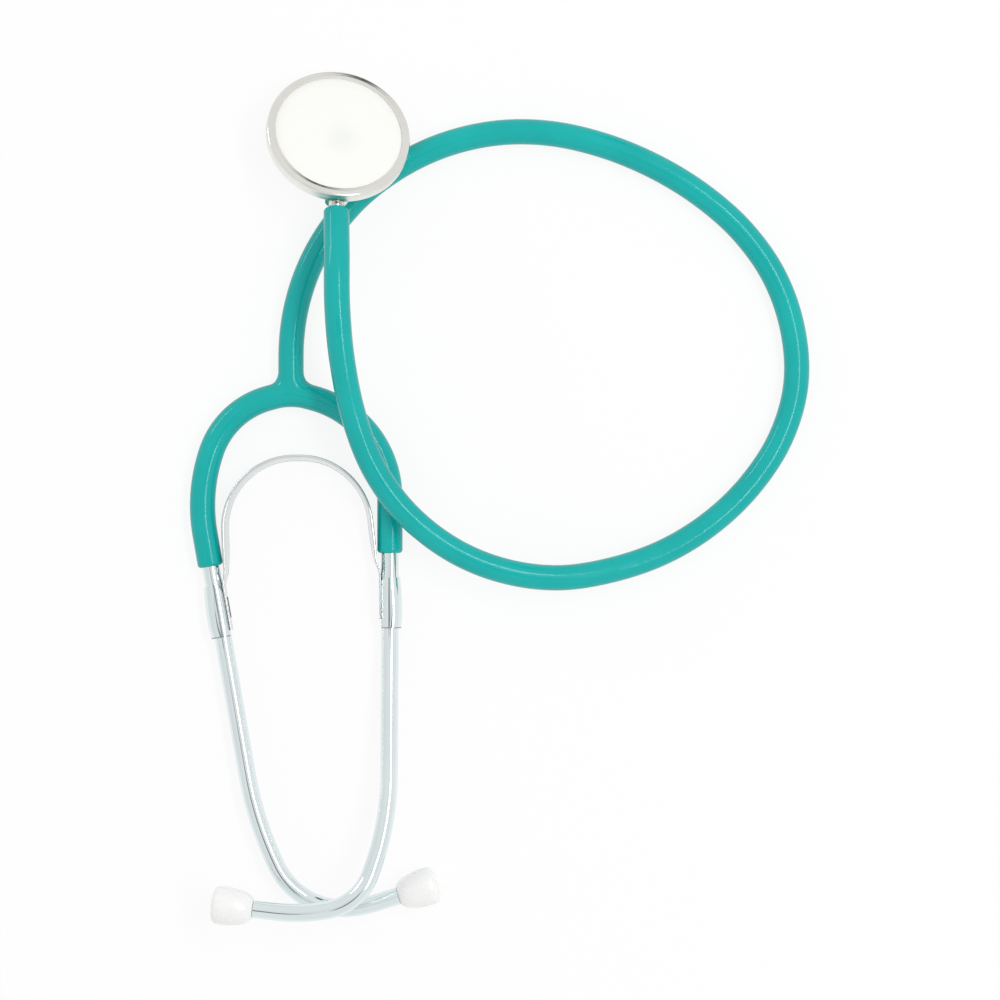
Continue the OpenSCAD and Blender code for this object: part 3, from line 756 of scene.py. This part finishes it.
left_leg = (SPRING_Y - left_knee[0].y) / math.cos(math.radians(LEFT_LEAN))
left_leg -= half_bend(KINK_R, left_turn) + half_bend(SHOULDER_R, 90 + LEFT_LEAN)
right_leg = (SPRING_Y - right_knee[0].y) / math.cos(math.radians(RIGHT_LEAN))
right_leg -= half_bend(KINK_R, right_turn) + half_bend(SHOULDER_R, 90 - RIGHT_LEAN)
middle = corner_x(right_knee, RIGHT_LEAN) - corner_x(left_knee, LEFT_LEAN)
middle -= half_bend(SHOULDER_R, 90 + LEFT_LEAN) + half_bend(SHOULDER_R, 90 - RIGHT_LEAN)
step_half = half_bend(KINK_R, STEP)
step_l = (knee_offset - strip_offset) / math.sin(math.radians(STEP)) - step_half
foot = ahead(left_seat, SEAT_L - STRIP_CUT)[0]
spring_start = level_frame(foot.x / MM, foot.y / MM, LEFT_HEADING + 180)
left_half = frames_along(spring_start, [
    (SEAT_L - STRIP_CUT - step_half, KINK_R, -STEP, False),
    (step_l - half_bend(KINK_R, left_turn), KINK_R, left_turn, False),
    (left_leg, SHOULDER_R, -(90 + LEFT_LEAN), False),
    (middle / 2, 0, 0, False),
])
right_half = frames_along(left_half[-1], [
    (middle / 2, SHOULDER_R, -(90 - RIGHT_LEAN), False),
    (right_leg, KINK_R, right_turn, False),
    (step_l - half_bend(KINK_R, right_turn), KINK_R, -STEP, False),
    (SEAT_L - STRIP_CUT - step_half, 0, 0, False),
])


def strip_ring(f, from_end):
    """Cross-section of the strip: upright and thinned near its end, leaning further on."""
    share = min(1, max(0, (from_end - STRIP_FLAT_SHARE * SEAT_L) / STRIP_EASE_L))
    lean = STRIP_LEAN * share * share * (3 - 2 * share)
    across = f[2] * math.cos(lean) - f[3] * math.sin(lean)
    up = f[3] * math.cos(lean) + f[2] * math.sin(lean)
    thinned = (1 - share) * STRIP_THIN
    place = f[0] + f[3] * (strip_reach * math.sin(lean)) + across * (thinned / 2)
    thick = STRIP_T - thinned
    corner = CORNER_SHARE * thick
    ring = []
    for k in range(4):
        x = (thick / 2 - corner) * (1 if k in (0, 3) else -1)
        z = (STRIP_W / 2 - corner) * (1 if k in (0, 1) else -1)
        for step in range(4):
            a = math.radians(90 * k + 30 * step)
            wide, high = x + corner * math.cos(a), z + corner * math.sin(a)
            ring.append(place + across * wide + up * high)
    return ring


for name, rows, body, knee in (
    ("leaf_spring_left", left_half, "ear_left", left_knee),
    ("leaf_spring_right", right_half, "ear_right", right_knee),
):
    end = rows[0][0] if body == "ear_left" else rows[-1][0]
    rings = [strip_ring(f, (f[0] - end).length) for f in rows]
    piece = mesh_piece(name, *capped_rings(rings), STRIP_STEEL, sharp=40)
    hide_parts("leaf_spring")
    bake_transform(piece)


# Spring clips: a bulged shell from below the tube, round its outer side and over its crest, and
# a hook under the strip. The shell's cut edges are dark metal; the same dark material is painted
# shade in a band over the crest and along the clip's far end, where the gap casts a shadow
CLIP_T = 0.45 * MM
CLIP_GAP = 0.06 * MM
CLIP_STAND = 0.2 * MM
CLIP_STAND_SHARE = 0.2
CLIP_BULGES = [
    (0, 0), (0.15, 0.12), (0.31, 0.55), (0.5, 0.95), (0.68, 1), (0.82, 0.9), (0.94, 0.5), (1, 0.3),
]
BULGE_BLUR = 0.03
BULGE_POWER = 0.8
CLIP_LOW = -94
CLIP_HIGH = 138
HIGH_SHARE = 0.24
TAPER_SHARE = 0.22
CLIP_ROWS = 30
CLIP_END_ROW = 0.35 * MM
HOOK_START = 4.8 * MM
HOOK_L = 7 * MM
HOOK_IN = 1.1 * MM
HOOK_GAP = 0.05 * MM
LIP_T = 0.12 * MM
LIP_TOP = 0.4 * MM
LIP_BEVEL = 0.2 * MM
LIP_SHOULDER = 0.3 * MM
LIP_FOOT = 0.05 * MM
CREST_AT = (88, 96)
OUTER_STEPS = 22
INNER_STEPS = 6
ARC = OUTER_STEPS + 1 + INNER_STEPS


def between(table, t):
    """The value at t of a table of places and values, on straight lines between them."""
    for (t0, a), (t1, b) in zip(table[:-1], table[1:]):
        if t <= t1:
            return a + (b - a) * (t - t0) / (t1 - t0)
    return table[-1][1]


def clip_piece(name, frame_at, side, start, length, bulge, taper):
    across, up, along = frame_at[2], frame_at[3], frame_at[1]
    rings = []
    shares = [i / CLIP_ROWS for i in range(CLIP_ROWS)] + [1 - CLIP_END_ROW / length, 1]
    for t in shares:
        narrow = taper * max(0, 1 - t / TAPER_SHARE) ** 2
        low, high = narrow + CLIP_LOW, CLIP_HIGH - HIGH_SHARE * narrow
        base = TUBE_R + CLIP_GAP + CLIP_STAND * min(1, t / CLIP_STAND_SHARE)
        before = between(CLIP_BULGES, max(0, t - BULGE_BLUR))
        swell = bulge * (before + between(CLIP_BULGES, min(1, t + BULGE_BLUR))) / 2
        place = frame_at[0] + along * (start + length * t)
        crest_low, crest_high = CREST_AT
        arc = [low + (crest_low - low) * k / OUTER_STEPS for k in range(OUTER_STEPS + 1)]
        arc += [crest_high + (high - crest_high) * k / INNER_STEPS for k in range(INNER_STEPS + 1)]
        arc = [math.radians(a) for a in arc]

        def at(a, r):
            return place + across * (side * r * math.cos(a)) + up * (r * math.sin(a))

        radius = [base + swell * max(0, math.cos(a)) ** BULGE_POWER for a in arc]
        outside = [at(a, r + CLIP_T) for a, r in zip(arc, radius)]
        inside = [at(a, r) for a, r in zip(arc[::-1], radius[::-1])]
        rings.append(outside + inside)
    vertices, faces = capped_rings(rings)
    n = len(rings[0])
    last_row = (len(shares) - 2) * n
    # Faces in the dark material: the band over the crest and the narrow last row at the far end
    # are painted shade, a dark line for the shadow in the gap there; the sheet's edges along its
    # length and its end caps are its real cut edges
    cut_edge_and_shade_columns = (OUTER_STEPS, ARC, n - 1)
    cut = [i for i in range(len(faces)) if i >= last_row or i % n in cut_edge_and_shade_columns]
    lip_x = strip_reach + STRIP_T / 2 - STRIP_THIN + HOOK_GAP
    under = STRIP_W / 2 + HOOK_GAP
    inner = [
        (-HOOK_IN, -under), (lip_x - LIP_BEVEL, -under),
        (lip_x, LIP_BEVEL - under), (lip_x, LIP_TOP - under),
    ]
    outer = [
        (lip_x + LIP_T, LIP_SHOULDER - under), (lip_x + LIP_T, LIP_FOOT - under),
        (lip_x, -under - CLIP_T), (-HOOK_IN, -under - CLIP_T),
    ]
    hook = []
    for d in (0, HOOK_L):
        place = frame_at[0] + along * (start + HOOK_START + d)
        hook.append([place - across * (side * x) + up * z for x, z in inner + outer])
    more, more_faces = capped_rings(hook)
    faces += [tuple(i + len(vertices) for i in face) for face in more_faces]
    piece = mesh_piece(name, vertices + more, faces, TUBE_CHROME, sharp=40)
    piece.data.materials.append(CUT_EDGE_AND_PAINTED_SHADE)
    for i in cut:
        piece.data.polygons[i].material_index = 1
    return piece


clip_left = clip_piece(
    "spring_clip_left_sheet", left_end, side=-1,
    start=6.0 * MM, length=17.6 * MM, bulge=0.62 * MM, taper=150,
)
clip_right = clip_piece(
    "spring_clip_right_sheet", right_end, side=1,
    start=8.0 * MM, length=16.7 * MM, bulge=0.45 * MM, taper=20,
)
for piece, cad, body in (
    (clip_left, "spring_clip_left", "ear_left"),
    (clip_right, "spring_clip_right", "ear_right"),
):
    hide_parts(cad)
    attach(piece, body)

# Ear tips: soft mushrooms with a rounded sound hole
TIP_R = 6.25 * MM
TIP_NECK_R = 3.2 * MM
TIP_L = 13.2 * MM
TIP_HOLE_R = 1.1 * MM
TIP_HOLE_RIM = 0.5 * MM
TIP_RIM_BEVEL = 0.3
TIP_SEAT_R = 2.15 * MM
TIP_SEAT_L = 7.4 * MM
TIP_GAP = 0.1 * MM
TIP_SHARES = [
    (0, 0), (0.04, 0.22), (0.11, 0.44), (0.21, 0.65), (0.34, 0.82), (0.48, 0.93),
    (0.62, 0.99), (0.74, 1), (0.84, 0.96), (0.92, 0.84), (0.97, 0.62), (1, 0.3),
]


def smoothed(points, steps=5):
    """A smooth curve through the points, with each span cut in steps."""
    made = []
    for i in range(len(points) - 1):
        a, b, c, d = (points[min(max(j, 0), len(points) - 1)] for j in (i - 1, i, i + 1, i + 2))
        for s in range(steps):
            t = s / steps
            made.append(tuple(
                0.5 * (
                    2 * b[k] + (c[k] - a[k]) * t
                    + (2 * a[k] - 5 * b[k] + 4 * c[k] - d[k]) * t * t
                    + (3 * b[k] - a[k] - 3 * c[k] + d[k]) * t ** 3
                )
                for k in (0, 1)
            ))
    return made + [points[-1]]


def tip_piece(name, tube_end):
    profile = [(TIP_NECK_R + r * (TIP_R - TIP_NECK_R), z * TIP_L) for z, r in smoothed(TIP_SHARES)]
    rim, bevel = TIP_HOLE_RIM, TIP_HOLE_RIM * TIP_RIM_BEVEL
    profile += [(TIP_HOLE_R + rim, TIP_L), (TIP_HOLE_R + bevel, TIP_L - bevel)]
    profile += [(TIP_HOLE_R, TIP_L - rim)]
    profile += [(TIP_HOLE_R, TIP_SEAT_L), (TIP_SEAT_R, TIP_SEAT_L), (TIP_SEAT_R, 0)]
    piece = mesh_piece(name, *loop_of_rings(turned(profile, 56)), WHITE, sharp=50)
    place, along, across, up = ahead(tube_end, TIP_GAP)
    turn = Matrix((across, up, along)).transposed().to_4x4()
    return put(piece, Matrix.Translation(place) @ turn)


tip_left = tip_piece("ear_tip_left_moulding", tube_left_rows[-1])
tip_right = tip_piece("ear_tip_right_moulding", tube_right_rows[-1])
for piece, cad, body in (
    (tip_left, "ear_tip_left", "tip_left"),
    (tip_right, "ear_tip_right", "tip_right"),
):
    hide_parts(cad)
    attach(piece, body)

# CAD nodes that keep their shape
for name, material in (
    ("head_body", HEAD_CHROME),
    ("chest_stem", HEAD_CHROME),
    ("tip_insert_left", BRASS),
    ("tip_insert_right", BRASS),
):
    dress(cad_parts[name], material)

# Floor: pale and matt, and nearly white of itself to the camera and to glossy rays, so that only
# a faint shadow shows
FLOOR_HALF = 3
FLOOR_DROP = 0.05 * MM
FLOOR_COLOUR = (0.95, 0.95, 0.95, 1)
WHITE_SHARE = 0.87
floor_data = bpy.data.meshes.new("floor")
corners = [(x * FLOOR_HALF, y * FLOOR_HALF, 0) for x, y in ((-1, -1), (1, -1), (1, 1), (-1, 1))]
floor_data.from_pydata(corners, [], [(0, 1, 2, 3)])
floor = bpy.data.objects.new("floor", floor_data)
floor.location.z = -FLOOR_DROP
scene.collection.objects.link(floor)
floor_material = bpy.data.materials.new("floor")
floor_material.use_nodes = True
tree = floor_material.node_tree
tree.nodes.clear()
out = tree.nodes.new("ShaderNodeOutputMaterial")
diffuse = tree.nodes.new("ShaderNodeBsdfDiffuse")
diffuse.inputs["Color"].default_value = FLOOR_COLOUR
glow = tree.nodes.new("ShaderNodeEmission")
glow.inputs["Color"].default_value = (1, 1, 1, 1)
glow.inputs["Strength"].default_value = 1.0
mix = tree.nodes.new("ShaderNodeMixShader")
rays = tree.nodes.new("ShaderNodeLightPath").outputs
seen = math_of(tree, "MAXIMUM", rays["Is Camera Ray"], rays["Is Glossy Ray"])
tree.links.new(math_of(tree, "MULTIPLY", seen, WHITE_SHARE), mix.inputs["Fac"])
tree.links.new(diffuse.outputs[0], mix.inputs[1])
tree.links.new(glow.outputs[0], mix.inputs[2])
tree.links.new(mix.outputs[0], out.inputs["Surface"])
floor.data.materials.append(floor_material)

# World: plain and white to every ray but a glossy one, which sees a bright room with a slightly
# greyer ceiling and left wall, a dark strip beyond the chestpiece near the horizon, and two small
# dark patches overhead. Azimuths are in degrees from +X, zenith angles from straight up
WORLD_LEVEL = 0.74
ROOM_LEVEL = 0.90
DARKEST = 0.04
STRIP_AZIMUTH = 71
STRIP_HALF = (0.03, 0.08)
STRIP_OUT = (0.888, 0.918)
STRIP_DARK = 0.80
CEILING_Z = (0.94, 0.985)
CEILING_DARK = 0.05
WALL_X = (-0.8, -0.3)
WALL_DARK = 0.06
PATCH_AZIMUTHS = (-42, 222)
PATCH_ZENITH = 14
PATCH_HALF = (6, 9.5)
PATCH_DARK = 0.6
world = bpy.data.worlds.new("world")
scene.world = world
world.use_nodes = True
tree = world.node_tree
background = tree.nodes["Background"]
way_seen = tree.nodes.new("ShaderNodeTexCoord").outputs["Generated"]


def along_way(x, y, z=0):
    """How far the seen direction runs along the direction x, y, z."""
    made = tree.nodes.new("ShaderNodeVectorMath")
    made.operation = "DOT_PRODUCT"
    made.inputs[1].default_value = (x, y, z)
    tree.links.new(way_seen, made.inputs[0])
    return made.outputs["Value"]


def darker(shade, area, amount):
    """Adds an area, darker by the amount, to the shade of the room."""
    return math_of(tree, "ADD", shade, math_of(tree, "MULTIPLY", area, amount))


split = tree.nodes.new("ShaderNodeSeparateXYZ")
tree.links.new(way_seen, split.inputs[0])
azimuth = math.radians(STRIP_AZIMUTH)
outwards = along_way(math.cos(azimuth), math.sin(azimuth))
sideways = math_of(tree, "ABSOLUTE", along_way(-math.sin(azimuth), math.cos(azimuth)))
strip = math_of(
    tree, "MULTIPLY",
    spread(tree, sideways, 1, 0, *STRIP_HALF), spread(tree, outwards, 0, 1, *STRIP_OUT),
)
shade = math_of(tree, "MULTIPLY", strip, STRIP_DARK)
shade = darker(shade, spread(tree, split.outputs["Z"], 0, 1, *CEILING_Z), CEILING_DARK)
shade = darker(shade, spread(tree, split.outputs["X"], 1, 0, *WALL_X), WALL_DARK)
zenith = math.radians(PATCH_ZENITH)
near, far = (math.cos(math.radians(angle)) for angle in PATCH_HALF)
for azimuth in (math.radians(angle) for angle in PATCH_AZIMUTHS):
    flat = math.sin(zenith)
    towards = along_way(flat * math.cos(azimuth), flat * math.sin(azimuth), math.cos(zenith))
    shade = darker(shade, spread(tree, towards, 0, 1, far, near), PATCH_DARK)
room = math_of(tree, "MAXIMUM", math_of(tree, "SUBTRACT", ROOM_LEVEL, shade), DARKEST)
rays = tree.nodes.new("ShaderNodeLightPath").outputs["Is Glossy Ray"]
lift = math_of(tree, "MULTIPLY", math_of(tree, "SUBTRACT", room, WORLD_LEVEL), rays)
background.inputs["Color"].default_value = (1, 1, 1, 1)
tree.links.new(math_of(tree, "ADD", lift, WORLD_LEVEL), background.inputs["Strength"])


def softbox(name, place, target, width, height, power):
    """A lamp that is wide along Y, turned to its target."""
    data = bpy.data.lights.new(name, "AREA")
    data.shape = "RECTANGLE"
    data.size = width
    data.size_y = height
    data.energy = power
    light = bpy.data.objects.new(name, data)
    light.location = place
    light.rotation_mode = "QUATERNION"
    light.rotation_quaternion = (Vector(target) - Vector(place)).to_track_quat("-Z", "Y")
    scene.collection.objects.link(light)


softbox("key", (0.52, 0.1, 1.0), target=(0.04, 0, 0), width=0.9, height=0.15, power=3.8)
softbox("side", (-1.1, 0.85, 0.45), target=(0, 0.05, 0), width=0.5, height=0.15, power=1.7)

scene.view_settings.view_transform = "Standard"
